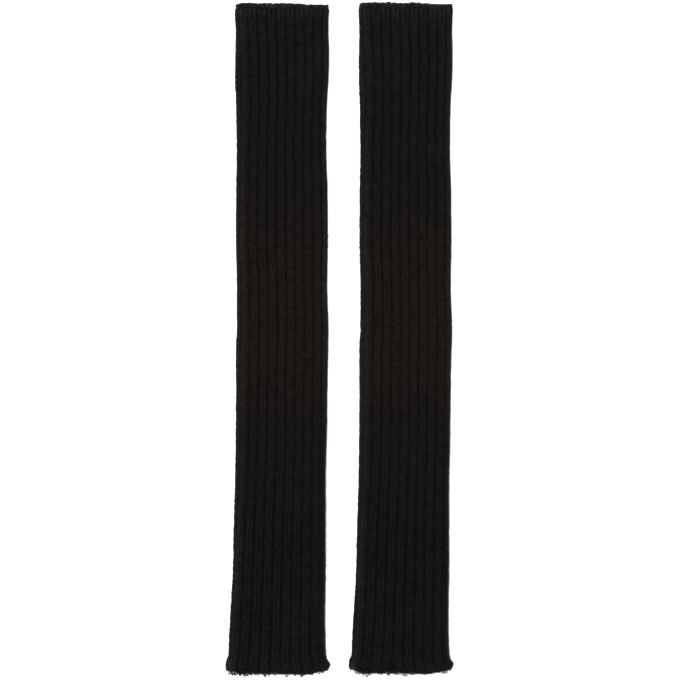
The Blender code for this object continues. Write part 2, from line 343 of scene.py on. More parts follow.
# Sinks the grooves between the ribs, and the line between the two stitch columns of a rib
def ribReliefTree():
    tree, given, made = startTree("ribRelief", ribInputs)
    fromGroove = maths(tree, "PINGPONG", attribute(tree, "ribPlace"), 0.5)
    groove = ramp(tree, fromGroove, 0.0, attribute(tree, "grooveHalf"), 1.0, 0.0)
    partingStart = maths(tree, "SUBTRACT", 0.5, given["Parting Width"])
    parting = ramp(tree, fromGroove, partingStart, 0.5, 0.0, 1.0)
    depth = maths(tree, "ADD", groove, maths(tree, "MULTIPLY", parting, attribute(tree, "dent")))
    depth = maths(tree, "ADD", depth, attribute(tree, "opening"))
    depth = maths(tree, "MULTIPLY", depth, attribute(tree, "relief"))
    depth = maths(tree, "MULTIPLY", depth, given["Rib Height"])
    sink = scaled(tree, vectorAttribute(tree, "outward"), maths(tree, "MULTIPLY", depth, -1.0))
    moved = addNode(tree, "GeometryNodeSetPosition", {"Geometry": given["Geometry"], "Offset": sink})
    tree.links.new(moved.outputs[0], made.inputs[0])
    return tree


def ribbed(tree, given, relief):  # what comes in, with the grooves sunk into it
    feeds = {name: given[name] for name in ("Geometry", "Rib Height", "Parting Width")}
    return addNode(tree, "GeometryNodeGroup", feeds, node_tree=relief).outputs[0]


# The ribbed cloth under the stitches
def clothTree(relief):
    tree, given, made = startTree("ribbedCloth", (*ribInputs, ("Material", "Material", None)))
    return endTree(tree, given, made, ribbed(tree, given, relief))


# Lays one piece of yarn on every point, each with its own tone or light
def layOut(tree, given, made, yarn, feeds, name, value):
    source = addNode(tree, "GeometryNodeObjectInfo", {"Object": given[yarn], "As Instance": True})
    feeds["Instance"] = source.outputs["Geometry"]
    laid = addNode(tree, "GeometryNodeInstanceOnPoints", feeds)
    feeds = {"Geometry": laid.outputs[0], "Name": name, "Value": value}
    toned = addNode(tree, "GeometryNodeStoreNamedAttribute", feeds, domain="INSTANCE")
    return endTree(tree, given, made, toned.outputs[0])


# Lays one stitch on each row of each guide line
def stitchTree(relief):
    tree, given, made = startTree("stitchRows", (
        ("Rows", "Int", 10),
        ("Stitch", "Object", None),
        *ribInputs,
        ("Yarn Depth", "Float", 0.6 * mm),
        ("Loose Turn", "Float", 0.05),
        ("Loose Size", "Float", 0.05),
        ("Loose Place", "Float", 0.05 * mm),
        ("Seed", "Int", 1),
        ("Material", "Material", None),
    ))
    seed = given["Seed"]
    lines = addNode(tree, "GeometryNodeMeshToCurve", {"Mesh": ribbed(tree, given, relief)})
    feeds = {"Curve": lines.outputs[0], "Count": given["Rows"]}
    rows = addNode(tree, "GeometryNodeResampleCurve", feeds)
    under = maths(tree, "MULTIPLY", given["Yarn Depth"], -1.0)
    sink = scaled(tree, vectorAttribute(tree, "outward"), under)
    stray = scaled(tree, randomVector(tree, seed, "place"), given["Loose Place"])
    offset = addNode(tree, "ShaderNodeVectorMath", {0: sink, 1: stray}, operation="ADD")
    feeds = {"Geometry": rows.outputs[0], "Offset": offset.outputs[0]}
    sunk = addNode(tree, "GeometryNodeSetPosition", feeds)
    tangent = tree.nodes.new("GeometryNodeInputTangent").outputs[0]
    feeds = {"Primary Axis": vectorAttribute(tree, "facing"), "Secondary Axis": tangent}
    aim = addNode(tree, "FunctionNodeAxesToRotation", feeds, primary_axis="Z", secondary_axis="Y")
    turn = scaled(tree, randomVector(tree, seed, "turn"), given["Loose Turn"])
    feeds = {"Rotation": aim.outputs[0], "Rotate By": turn}
    turned = addNode(tree, "FunctionNodeRotateRotation", feeds, rotation_space="LOCAL")
    drawn = randomValue(tree, seed, "size", low=-1.0)
    size = maths(tree, "MULTIPLY_ADD", drawn, given["Loose Size"], 1.0)
    wide = maths(tree, "MULTIPLY", attribute(tree, "wide"), size)
    tall = maths(tree, "MULTIPLY", attribute(tree, "tall"), size)
    feeds = {0: randomValue(tree, seed, "kept"), 1: attribute(tree, "kept")}
    kept = addNode(tree, "FunctionNodeCompare", feeds, operation="LESS_THAN", data_type="FLOAT")
    feeds = {
        "Points": sunk.outputs[0],
        "Selection": kept.outputs[0],
        "Rotation": turned.outputs[0],
        "Scale": joined(tree, wide, size, tall),
    }
    return layOut(tree, given, made, "Stitch", feeds, "tone", randomValue(tree, seed, "tone"))


# Strews loose wool fibres over the outside of the cloth
def fibreTree():
    tree, given, made = startTree("woolFibres", (
        ("Density", "Float", 1000.0),
        ("Fibre", "Object", None),
        ("Lift", "Float", 1.0 * mm),
        ("Smallest", "Float", 0.5),
        ("Light", "Float", 1.0),
        ("Seed", "Int", 1),
        ("Material", "Material", None),
    ))
    seed = given["Seed"]
    feeds = {
        "Mesh": given["Geometry"],
        "Selection": attribute(tree, "outside"),
        "Density": given["Density"],
        "Seed": seed,
    }
    strewn = addNode(tree, "GeometryNodeDistributePointsOnFaces", feeds)
    outward = vectorAttribute(tree, "outward")
    feeds = {"Geometry": strewn.outputs["Points"], "Offset": scaled(tree, outward, given["Lift"])}
    lifted = addNode(tree, "GeometryNodeSetPosition", feeds)
    feeds = {"Primary Axis": outward, "Secondary Axis": randomVector(tree, seed, "heading")}
    aim = addNode(tree, "FunctionNodeAxesToRotation", feeds, primary_axis="Z", secondary_axis="X")
    size = ramp(tree, randomValue(tree, seed, "length"), 0.0, 1.0, given["Smallest"], 1.0)
    feeds = {
        "Points": lifted.outputs[0],
        "Rotation": aim.outputs[0],
        "Scale": joined(tree, size, size, size),
    }
    lit = maths(tree, "MULTIPLY", attribute(tree, "light"), given["Light"])
    return layOut(tree, given, made, "Fibre", feeds, "light", lit)


def newObject(name, data):
    thing = bpy.data.objects.new(name, data)
    bpy.context.scene.collection.objects.link(thing)
    return thing


def applyNodes(name, mesh, tree, values):  # the evaluated result as a plain mesh object
    holder = newObject(name + "Holder", mesh)
    modifier = holder.modifiers.new("nodes", "NODES")
    modifier.node_group = tree
    for item in tree.interface.items_tree:
        if item.in_out == "INPUT" and item.name in values:
            modifier[item.identifier] = values[item.name]
    graph = bpy.context.evaluated_depsgraph_get()
    result = bpy.data.meshes.new_from_object(
        holder.evaluated_get(graph), preserve_all_data_layers=True, depsgraph=graph
    )
    bpy.data.objects.remove(holder, do_unlink=True)
    bpy.data.meshes.remove(mesh)
    result.name = name
    return newObject(name, result)


def setAttributes(mesh, held):  # held: what each point holds, a number or a vector by name
    for name, first in held[0].items():
        values = [point[name] for point in held]
        if isinstance(first, Vector):
            numbers = [number for vector in values for number in vector]
            mesh.attributes.new(name, "FLOAT_VECTOR", "POINT").data.foreach_set("vector", numbers)
        else:
            mesh.attributes.new(name, "FLOAT", "POINT").data.foreach_set("value", values)


def meshOf(name, shape):  # with its faces turned outward
    bmesh.ops.recalc_face_normals(shape, faces=shape.faces[:])
    mesh = bpy.data.meshes.new(name)
    shape.to_mesh(mesh)
    shape.free()
    return mesh


def linesMesh(name, points, links, held):
    mesh = bpy.data.meshes.new(name)
    mesh.from_pydata(points, links, [])
    setAttributes(mesh, held)
    return mesh


# The cloth: a ribbed outer face, a plain inner face and closed rims
cloth = {
    "ringStep": 6.2,  # mm between rings of points
    "fewestSteps": 3,  # from ring to ring in one stretch
    "slopePlace": 0.45,  # where a ring has a point on a groove's slope, as a share of it
    "crownPlaces": (0.33, 0.5, 0.67),  # and on a rib, in pitches
    "under": 1.0,  # how deep the cloth lies under the stitch crowns, mm
    "shade": 0.44,  # it lies in shadow, so it is darker than the stitches
    "ribHeight": 1.4,  # mm
    "grooveShare": 0.62,  # half a groove's slope, in groove widths
    "partingWidth": 0.12,  # in rib pitches
    "foldRelief": 0.1,  # share of the rib height that is left round a fold
    "foldTurn": (0.0, 0.4),  # radians round a fold over which the front's ribs get so flat
    "backRelief": 0.6,
    "backTurn": (2.2, 2.9),  # and over which the back's begin
    "skinTurn": (1.2, 2.6),  # and over which the front's depth turns into the back's
    "smoothLeft": (0.25, 0.6),  # pitches from the leftmost groove where the cloth is smooth
    "bandRelief": 0.75,
    "bandEnds": (0.6, 1.3),  # in lengths of the start band
    "flatEnd": 11.0,  # mm before the cast-off edge where the ribs start to flatten
    "endRelief": 0.3,
    "endLight": 1.0,  # the grooves are as light as the ribs there
    "edgeLoops": 2.7,  # mm of the cast-off edge that are loops alone
    "startBeads": 0.9,  # mm of the start edge that are beads alone
}
# The two stitch columns before the right fold lie apart towards the cast-off edge, with bars of
# yarn between them like a ladder
ladder = {
    "rib": 8,
    "place": 8.3,
    "start": 325.0,  # mm below the start edge
    "full": 400.0,
    "reach": (0.07, 0.15),  # pitches to each side that it takes
    "aside": (-0.16, -0.12),  # how far the columns to its left and right move, in pitches
    "narrowed": (0.5, 0.0),  # how much narrower they are
    "columnLight": (0.85, 1.25),
    "relief": 0.8,
    "depth": 1.0,  # in rib heights
    "shadow": 0.85,  # how much darker the cloth under it is
    "light": 1.0,  # of its bars
    "width": 0.45,  # of its bars where it is fully open
    "leastWidth": 0.2,
}
# Some stitches have slipped down near the left half of the cast-off edge, which leaves holes
slipped = {"share": 0.6, "high": 8.0, "low": 6.5, "across": 0.22, "reach": (0.14, 0.26)}
alwaysKept = 1.1  # a stitch stays where its random draw, at most 1, is below this


def ladderOpens(below):
    closes = nearEnd(below, tube["castOffLength"], 0.0)
    return (1 - closes) * (1 - fade(below, ladder["start"], ladder["full"]))


def laddered(below, place):
    return ladderOpens(below) * fade(abs(place - ladder["place"]), *ladder["reach"])


def keptShare(below, x):  # share of the stitches that lie in their place
    section = sectionAt(below)
    aside = abs((x + section.left) / section.width - slipped["across"])
    holes = nearEnd(below, slipped["high"], slipped["low"]) * fade(aside, *slipped["reach"])
    return alwaysKept - (alwaysKept - 1 + slipped["share"]) * holes


def reliefAt(below, place, turned, seed):  # the ribs lie flatter round the folds and underneath
    folded = 1 - fade(turned, *cloth["foldTurn"])
    under = 1 - fade(turned, *cloth["backTurn"])
    relief = 1 + (cloth["foldRelief"] - 1) * folded
    relief += (cloth["backRelief"] - cloth["foldRelief"]) * under
    relief *= 1 - fade(place + 1, *cloth["smoothLeft"])  # no groove shows on the left fold
    relief = max(relief, ladder["relief"] * laddered(below, place))
    band = fade(below / tube["bandLength"], *cloth["bandEnds"])
    relief *= 1 + (cloth["bandRelief"] - 1) * band
    relief *= 1 + (cloth["endRelief"] - 1) * nearEnd(below, cloth["flatEnd"], cloth["edgeLoops"])
    along, past = below / unevenness["depthLength"], unevenness["depthSeed"] * seed
    spot = Vector((unevenness["depthPerRib"] * place, along, past))
    return relief * (1 + unevenness["depth"] * noise.noise(spot))


# Painted light: the colour is lighter towards the folds, where the cloth turns over to face the bright
# surroundings, and most at the left corner of the cast-off edge. Each fold's share of it differs along the
# tube.
paintedLightAtFolds = {"lit": 0.55, "from": 2.0, "to": 9.0, "cornerLit": 0.85, "cornerHigh": 15.0, "cornerLow": 7.0}
FoldNap = namedtuple("FoldNap", "below left right")
foldLightShares = (
    FoldNap(0, 0.55, 0.65),
    FoldNap(14, 0.55, 0.65),
    FoldNap(24, 1.0, 1.0),
    FoldNap(430, 1.0, 1.0),
    FoldNap(455, 1.4, 1.0),
    FoldNap(505, 1.4, 1.0),
    FoldNap(530, 1.0, 1.4),
    FoldNap(562, 1.0, 1.4),
    FoldNap(574, 1.0, 1.0),
)


# painted light: how much lighter the colour is near the folds and the left corner of the cast-off edge
def paintedFoldLight(below, x):
    section = sectionAt(below)
    fromLeft, fromRight = (x + section.left) / mm, (section.right - x) / mm
    corner = fade(fromLeft, paintedLightAtFolds["from"], paintedLightAtFolds["to"]) * nearEnd(below, paintedLightAtFolds["cornerHigh"], paintedLightAtFolds["cornerLow"])
    share = smoothValue(foldLightShares, "left" if fromLeft < fromRight else "right", below)
    lit = paintedLightAtFolds["lit"] * share * fade(min(fromLeft, fromRight), paintedLightAtFolds["from"], paintedLightAtFolds["to"])
    return 1 + lit + paintedLightAtFolds["cornerLit"] * corner


def grooveHalf(section):
    return cloth["grooveShare"] * section.groove / section.pitch


def ribHeld(below, at, turned, seed):  # what the relief of the ribs needs to know at a point
    return {
        "ribPlace": at,
        "grooveHalf": grooveHalf(sectionAt(below)),
        "dent": smoothValue(wideRib, "dent", below),
        "opening": ladder["depth"] * laddered(below, at),
        "relief": reliefAt(below, at, turned, seed),
    }


def ringPlaces(section):
    half = grooveHalf(section)
    slope = cloth["slopePlace"] * half
    shares = (0.0, slope, half, *cloth["crownPlaces"], 1 - half, 1 - slope)
    ribs = tube["frontRibs"] + tube["backRibs"]
    return [rib - 1 + share for rib in range(ribs) for share in shares], len(shares)


def clothMesh(name, start, end, place, seed):
    shape = bmesh.new()
    steps = max(cloth["fewestSteps"], math.ceil((end - start) / cloth["ringStep"]))
    turn = place.to_3x3()
    loops, held = [], []

    def add(below, at, depth, outside):
        point, out, _, turned = knitPoint(below, at, seed)
        if below in (0.0, tube["length"]):
            point.y += (cloth["edgeLoops"] if below else -cloth["startBeads"]) * mm
        ribs = ribHeld(below, at, turned, seed)
        # painted shadow on the cloth, deeper in the ladder's gap, and painted light towards the folds
        shadow = cloth["shade"] * (1 - ladder["shadow"] * laddered(below, at))
        held.append(ribs | {
            "relief": outside * ribs["relief"],
            "light": shadow * paintedFoldLight(below, point.x),
            "outside": outside,
            "outward": turn @ out,
        })
        return shape.verts.new(place @ (point - out * depth))

    for step in range(steps + 1):
        below = start + (end - start) * step / steps
        places, perRib = ringPlaces(sectionAt(below))
        outer = [add(below, at, cloth["under"] * mm, 1.0) for at in places]
        inner = []
        for at in places[:: perRib // 2]:
            under = 1 - fade(knitPoint(below, at, seed)[3], *cloth["skinTurn"])
            skin = tube["frontSkin"] + (tube["backSkin"] - tube["frontSkin"]) * under
            inner.append(add(below, at, skin * mm, 0.0))
        loops.append((outer, inner))
    for (outerA, innerA), (outerB, innerB) in zip(loops, loops[1:]):
        for a, b in ((outerA, outerB), (innerA, innerB)):
            for i, corner in enumerate(a):
                shape.faces.new((corner, a[i - 1], b[i - 1], b[i]))
    for outer, inner in (loops[0], loops[-1]):
        stride = len(outer) // len(inner)
        for i, corner in enumerate(inner):
            after = (i + 1) % len(inner)
            stretch = [outer[(i * stride + k) % len(outer)] for k in range(stride + 1)]
            shape.faces.new(stretch + [inner[after], corner])
    mesh = meshOf(name, shape)
    setAttributes(mesh, held)
    return mesh


# The shapes that are laid row by row, in mm. Each is a short stretch of yarn with closed ends.
def yarnMesh(name, strands, sides, upright=(0, 0, 1)):  # strands: (x, y, z, thickness) points
    shape = bmesh.new()
    for strand in strands:
        points = [Vector(point[:3]) * mm for point in strand]
        rings = []
        for i in range(1, len(points) - 1):
            ahead = (points[i + 1] - points[i - 1]).normalized()
            across = ahead.cross(Vector(upright)).normalized()
            up = across.cross(ahead)
            radius = strand[i][3] * mm / 2
            angles = [2 * math.pi * k / sides for k in range(sides)]
            rings.append([
                shape.verts.new(points[i] + radius * (up * math.cos(a) + across * math.sin(a)))
                for a in angles
            ])
        tips = [shape.verts.new(points[0]), shape.verts.new(points[-1])]
        for a, b in zip(rings, rings[1:]):
            for k in range(sides):
                shape.faces.new((a[k], a[k - 1], b[k - 1], b[k]))
        for tip, ring in zip(tips, (rings[0], rings[-1])):
            for k in range(sides):
                shape.faces.new((ring[k], ring[k - 1], tip))
    mesh = meshOf(name, shape)
    setAttributes(mesh, [{"strand": vertex.co / mm} for vertex in mesh.vertices])
    return mesh


stitch = {
    "rowHeight": 2.13,  # mm from one row of stitches to the next
    "bandRows": 4,  # rows of the start band and of the cast-off edge
    "edgeRows": 7,
    "width": 3.05,  # of one stitch column
    "dentNarrows": 0.16,  # share of its width that it loses beside a full dent
    "yarn": 1.36,  # thickness of a leg in its middle
    "depth": 0.68,  # of the yarn's middle under the crown
    "purlDepth": 0.42,
    "purlGroove": 2.2,  # mm of groove that a purl bar fills
    "bandPurlWidth": 0.75,
    "shoulderTilt": 13.0,  # degrees that a column leans out over its groove
    "grooveLight": 0.7,  # painted shade: the share of their dye that the purl stitches in a groove show
    # painted shade of the start band's grooves
    "bandGrooveLight": 0.5,
    "looseTurn": 0.12,
    "looseSize": 0.1,
    "loosePlace": 0.2,  # mm
}


def stitchLegs(rings):  # the two legs of a knit stitch, as a V
    high, wide, yarn = stitch["rowHeight"], stitch["width"], stitch["yarn"]
    route = {  # share of the width, of the row height, rise, thickness
        1: ((0.03, -0.74, -0.62, 0), (0.25, 0.02, 0.0, 1.0), (0.44, 0.76, -0.40, 0)),
        3: ((0.02, -0.76, -0.70, 0), (0.10, -0.46, -0.22, 0.84), (0.25, 0.02, 0.0, 1.0),
            (0.38, 0.44, -0.12, 0.84), (0.45, 0.74, -0.50, 0)),
    }[rings]
    return [
        [(side * x * wide, y * high, z, t * yarn) for x, y, z, t in route] for side in (-1, 1)
    ]


def purlBar():  # a purl stitch shows as a short bar across
    return [[(-1.75, -0.3, -0.6, 0), (-0.8, 0.1, 0.0, 1.3), (0.8, 0.1, 0.0, 1.3),
             (1.75, -0.3, -0.6, 0)]]


# The open edges: a rope of beads at the start, and a chain with arches of yarn at the cast-off
edges = {
    "rope": 4.2,  # mm of the start edge before its first row of stitches
    "beadYarn": 1.7,  # mm
    "loopYarn": 0.85,
    "loopSpan": 2.1,
    "loopReach": 2.9,  # mm that a loop stands out
    "loopLean": 0.3,
    "loopHeight": 0.85,  # share of that in the mean
    "unevenLoops": 0.7,  # how much it varies
    "unevenAcross": 5.0,  # and over how many mm
    "unevenUp": 3.0,
    "openLoops": 0.35,  # how much further the loops stand out near the left corner
    "openReach": (-30.375, -12.15),  # mm from the middle line where that fades out
    "pointsPerRib": 8,  # of the lines round the edges
    "speckleStep": 1.7,  # how fast the light of the beads varies
    "speckleSeed": 5.0,
}

# The lines round the open edges. draw: added to the seed. short and depth: mm before the edge and
# under the crown. up: how far the yarn faces up and not away. speckle: how much it differs in light.
# lowest: mm above the table where it starts. turn, size, place: how loosely it lies (place in mm).
Rim = namedtuple("Rim", "name stretch yarn count draw short depth up light speckle lowest turn size place")
rims = (
    Rim("StartBeads1", "band", "startBead", 104, 1, 0.8, 1.05, 0.75, 1.06, 0.6, -1.0, 0.3, 0.22, 0.4),
    Rim("StartBeads2", "band", "startBead", 104, 2, 2.3, 1.2, 0.75, 1.06, 0.6, -1.0, 0.3, 0.22, 0.4),
    Rim("CastOffChain", "edge", "frontStitch", 76, 0, 2.8, 0.75, 0.9, 1.0, 0.0, -1.0, 0.2, 0.15, 0.2),
    Rim("CastOffLoops", "edge", "castLoop", 60, 0, 2.9, 1.1, -0.06, 1.2, 0.0, -1.0, 0.18, 0.36, 0.4),
    Rim("StartFuzz", "band", "woolFibre", 100, 0, 0.2, 0.4, 0.6, 1.6, 0.0, 2.0, 1.6, 0.4, 0.7),
    Rim("CastOffFuzz", "edge", "woolFibre", 100, 0, 1.2, 0.6, 0.6, 1.6, 0.0, 2.0, 1.6, 0.4, 0.7),
)


def bead():  # slanted, so that the beads make a rope
    yarn = edges["beadYarn"]
    return [[(-0.9, -1.2, -0.7, 0), (-0.55, -0.7, -0.1, 0.7 * yarn), (0.0, 0.0, 0.2, yarn),
             (0.55, 0.7, -0.1, 0.7 * yarn), (0.9, 1.2, -0.7, 0)]]


def edgeLoop():  # an arch that is narrower at its feet
    yarn, half, lean = edges["loopYarn"], edges["loopSpan"] / 2, edges["loopLean"]
    high = edges["loopReach"] - yarn / 2
    arch = [(lean * math.cos(a), -half * math.cos(a) * (0.75 + 0.35 * math.sin(a)),
             high * math.sin(a), yarn) for a in (math.pi * k / 8 for k in range(1, 8))]
    return [[(lean, -0.7 * half, -0.7, 0), *arch, (-lean, 0.7 * half, -0.7, 0)]]


def loopHeight(point, seed):  # uneven, and longest near the left corner
    across, up = point.x / mm / edges["unevenAcross"], point.z / mm / edges["unevenUp"]
    uneven = edges["unevenLoops"] * noise.noise(Vector((across, up, seed)))
    return edges["loopHeight"] + uneven + edges["openLoops"] * fade(point.x / mm, *edges["openReach"])


# Loose fibres that stand off the wool, in mm
fibres = {
    "perSquareMetre": 20000.0,
    "thickness": 0.09,
    "smallest": 0.45,  # of the longest fibre's size
    "lift": 1.05,  # above the cloth
    "light": 2.6,  # against the cloth under them
}


def fibre():
    thick = fibres["thickness"]
    return [[(-1.3, 0.0, -0.3, 0), (-0.5, 0.25, 0.2, thick), (0.5, -0.15, 0.45, thick),
             (1.4, 0.25, 0.35, 0)]]


# A line of stitches down the tube. place, wide and light, the share of its dye that it shows as painted
# light and shade, are worked out from the distance below the start edge.
StitchLine = namedtuple("StitchLine", "place tilt wide light")


def guideMesh(name, lines, start, end, rows, place, seed):
    turn = place.to_3x3()
    points, links, held = [], [], []
    step = (end - start) / rows
    count = max(2, math.ceil(rows / 2))
    for line in lines:
        for i in range(count):
            below = start + step * 0.5 + (end - start - step) * i / (count - 1)
            at = line.place(below)
            point, out, side, turned = knitPoint(below, at, seed)
            if i:
                links.append((len(points) - 1, len(points)))
            points.append(place @ point)
            held.append(ribHeld(below, at, turned, seed) | {
                "wide": line.wide(below),
                "tall": 1.0,
                # painted light and shade: lighter towards the folds, darker in the grooves
                "light": line.light(below) * paintedFoldLight(below, point.x),
                "kept": keptShare(below, point.x),
                "outward": turn @ out,
                "facing": turn @ (out * math.cos(line.tilt) + side * math.sin(line.tilt)),
            })
    return linesMesh(name, points, links, held)


def rimMesh(name, rim, place, seed):  # a closed line round one open edge
    below, ways = (0.0, 1) if rim.stretch == "band" else (tube["length"], -1)
    perRib, turn = edges["pointsPerRib"], place.to_3x3()
    count = perRib * (tube["frontRibs"] + tube["backRibs"])
    points, outs, lights = [], [], []
    for i in range(count):
        point, out, _, _ = knitPoint(below, i / perRib - 1, seed)
        point.y -= ways * rim.short * mm
        points.append(point - out * rim.depth * mm)
        outs.append(out)
        spot = Vector((edges["speckleStep"] * i, edges["speckleSeed"] * seed, 0.5))
        speckled = 1 + rim.speckle * noise.noise(spot)
        # painted light towards the folds, on top of the edge's own light and speckle
        lights.append(rim.light * speckled * paintedFoldLight(below, point.x))
    held = []
    for i, (point, out) in enumerate(zip(points, outs)):
        away = out.cross((points[(i + 1) % count] - points[i - 1]).normalized())
        if away.y * ways < 0:
            away = -away
        held.append({
            "wide": 1.0,
            "tall": loopHeight(point, seed) if rim.yarn == "castLoop" else 1.0,
            "light": lights[i],
            "kept": alwaysKept if point.z > rim.lowest * mm else 0.0,
            "outward": turn @ out,
            "facing": turn @ (away * (1 - rim.up) + out * rim.up).normalized(),
        })
    links = [(i, (i + 1) % count) for i in range(count)]
    return linesMesh(name, [place @ point for point in points], links, held)


# The left fold's rib faces the light: the light of a rib's left and right column, and of the
# grooves on and beside the folds
foldLight = {-1: (1.24, 1.08), 8: (0.94, 1.0)}
foldGrooveLight = {-1: 0.93, 0: 0.82, 9: 1.0}


def columnLine(rib, right):  # the left or right stitch column of a rib
    side = 1 if right else -1

    def opens(below):
        return ladderOpens(below) if rib == ladder["rib"] else 0.0

    def placeAt(below):
        at = rib + 0.5 + side * smoothValue(wideRib, "spread", below)
        return at + ladder["aside"][right] * opens(below)

    def wideAt(below):
        section = sectionAt(below)
        narrowed = stitch["dentNarrows"] * smoothValue(wideRib, "dent", below)
        narrowed += ladder["narrowed"][right] * opens(below)
        return (section.pitch - section.groove) / 2 / (stitch["width"] * mm) * (1 - narrowed)

    def lightAt(below):
        light = foldLight[rib][right] if rib in foldLight else 1.0
        return light + (ladder["columnLight"][right] - light) * opens(below)

    return StitchLine(placeAt, side * math.radians(stitch["shoulderTilt"]), wideAt, lightAt)


def columnLines(ribs):
    return [columnLine(rib, right) for rib in ribs for right in (False, True)]


# painted shade: the purl stitches in a groove are darker, and no darker than the ribs at the cast-off edge
def grooveLine(groove, share, lit):
    def wideAt(below):
        return share * sectionAt(below).groove / mm / stitch["purlGroove"]

    def lightAt(below):
        return lit + (cloth["endLight"] - lit) * nearEnd(below, cloth["flatEnd"], 0.0)

    return StitchLine(lambda below: float(groove), 0.0, wideAt, lightAt)


def grooveLines(grooves, share=1.0, lit=stitch["grooveLight"]):
    return [grooveLine(groove, share, foldGrooveLight.get(groove, lit)) for groove in grooves]


def ladderLine():
    def wideAt(below):
        return max(ladder["leastWidth"], ladder["width"] * ladderOpens(below))

    return [StitchLine(lambda below: ladder["place"], 0.0, wideAt, lambda below: ladder["light"])]


# Black wool: a matt yarn with a soft nap. Its dye is warmer in the middle of the length.
Dye = namedtuple("Dye", "y red green blue")  # y in metres
dyes = (
    Dye(-0.2925, 0.0190, 0.0160, 0.0158),
    Dye(-0.2890, 0.0126, 0.0110, 0.0117),
    Dye(-0.1800, 0.0113, 0.0098, 0.0106),
    Dye(-0.0900, 0.0131, 0.0116, 0.0113),
    Dye(-0.0100, 0.0170, 0.0130, 0.0105),
    Dye(0.0600, 0.0160, 0.0130, 0.0106),
    Dye(0.1600, 0.0126, 0.0110, 0.0111),
    Dye(0.2760, 0.0134, 0.0118, 0.0119),
    Dye(0.2860, 0.0206, 0.0184, 0.0184),
    Dye(0.2895, 0.0212, 0.0184, 0.0178),
    Dye(0.2925, 0.0300, 0.0230, 0.0200),
)
wool = {
    "shade": 0.85,
    "stitchTone": 0.5,  # stitches differ in tone by this much
    "gloss": 0.03,
    "roughness": 0.78,  # where it is least, and how much the fine mottle adds
    "roughMottle": 0.2,
    "sheen": 0.03,
    "sheenRoughness": 0.45,
    "sheenTint": (0.9, 0.85, 0.82, 1.0),
    "detail": 2.0,  # of the noises and of the twist
    "twist": 0.62,  # scale of the plies of the yarn
    "twistBend": 1.2,
    "twistHeight": 0.8,
    "bump": 0.5,
    "bumpHeight": 0.12,  # mm
}
# Scale and amount of the mottles: broad, in patches, in tufts and fine
mottles = ((45.0, 0.2), (200.0, 0.65), (480.0, 0.95), (1500.0, 0.4))


def woolMaterial(name, stitched):
    material = bpy.data.materials.new(name)
    material.use_nodes = True
    tree = material.node_tree
    shader = tree.nodes["Principled BSDF"]
    spot = tree.nodes.new("ShaderNodeTexCoord").outputs["Object"]

    def stored(name, output):  # what the yarn holds of that name
        return addNode(tree, "ShaderNodeAttribute", {}, attribute_name=name).outputs[output]

    y = addNode(tree, "ShaderNodeSeparateXYZ", {0: spot}).outputs["Y"]
    low, high = dyes[0].y, dyes[-1].y
    feeds = {"Value": y, "From Min": low, "From Max": high}
    share = addNode(tree, "ShaderNodeMapRange", feeds).outputs[0]
    dye = addNode(tree, "ShaderNodeValToRGB", {"Fac": share})
    stops = dye.color_ramp.elements
    for i, row in enumerate(dyes):
        at = (row.y - low) / (high - low)
        stop = stops[i] if i < 2 else stops.new(at)
        stop.position = at
        stop.color = (row.red, row.green, row.blue, 1.0)
    shade = 1.0
    for scale, amount in mottles:
        feeds = {"Vector": spot, "Scale": scale, "Detail": wool["detail"]}
        fine = addNode(tree, "ShaderNodeTexNoise", feeds).outputs[0]
        shade = maths(tree, "MULTIPLY_ADD", maths(tree, "SUBTRACT", fine, 0.5), amount, shade)
    height = fine
    if stitched:
        shade = maths(tree, "MULTIPLY_ADD", stored("tone", "Fac"), wool["stitchTone"], shade)
        feeds = {"Vector": stored("strand", "Vector"), "Scale": wool["twist"],
                 "Distortion": wool["twistBend"], "Detail": wool["detail"]}
        twist = addNode(tree, "ShaderNodeTexWave", feeds, bands_direction="DIAGONAL")
        height = maths(tree, "MULTIPLY_ADD", twist.outputs["Fac"], wool["twistHeight"], height)
    # painted light and shade: the light the yarn holds makes its dye lighter towards the folds and darker
    # in the grooves and under the stitches
    shade = maths(tree, "MULTIPLY", shade, maths(tree, "MULTIPLY", stored("light", "Fac"), wool["shade"]))
    feeds = {"Height": height, "Strength": wool["bump"], "Distance": wool["bumpHeight"] * mm}
    feed(tree, shader, {
        "Base Color": scaled(tree, dye.outputs["Color"], shade),
        "Roughness": maths(tree, "MULTIPLY_ADD", fine, wool["roughMottle"], wool["roughness"]),
        "Normal": addNode(tree, "ShaderNodeBump", feeds).outputs[0],
        "Specular IOR Level": wool["gloss"],
        "Sheen Weight": wool["sheen"],
        "Sheen Roughness": wool["sheenRoughness"],
        "Sheen Tint": wool["sheenTint"],
    })
    return material


# The two arm warmers, and the three stretches of knitting in each
Stretch = namedtuple("Stretch", "cloth node slot")
stretches = {
    "rib": Stretch("RibCloth", "_rib_tube", "rib_knit"),
    "band": Stretch("StartBandCloth", "_start_band", "start_band_knit"),
    "edge": Stretch("CastOffCloth", "_cast_off_edge", "cast_off_yarn"),
}
relief = ribReliefTree()
clothNodes = clothTree(relief)
stitchNodes = stitchTree(relief)
fibreNodes = fibreTree()
wools = {stretch + kind: woolMaterial(stretch + kind, kind == "Wool")
         for stretch in stretches for kind in ("Wool", "Cloth")}
print("materials and node trees made")

yarns = {mesh.name: newObject(mesh.name, mesh) for mesh in (
    yarnMesh("frontStitch", stitchLegs(3), 4),
    yarnMesh("backStitch", stitchLegs(1), 3),
    yarnMesh("purlStitch", purlBar(), 4),
    yarnMesh("startBead", bead(), 5),
    yarnMesh("woolFibre", fibre(), 3),
    yarnMesh("castLoop", edgeLoop(), 5, upright=(1, 0, 0)),
)}
ribSizes = {"Rib Height": cloth["ribHeight"] * mm, "Parting Width": cloth["partingWidth"]}


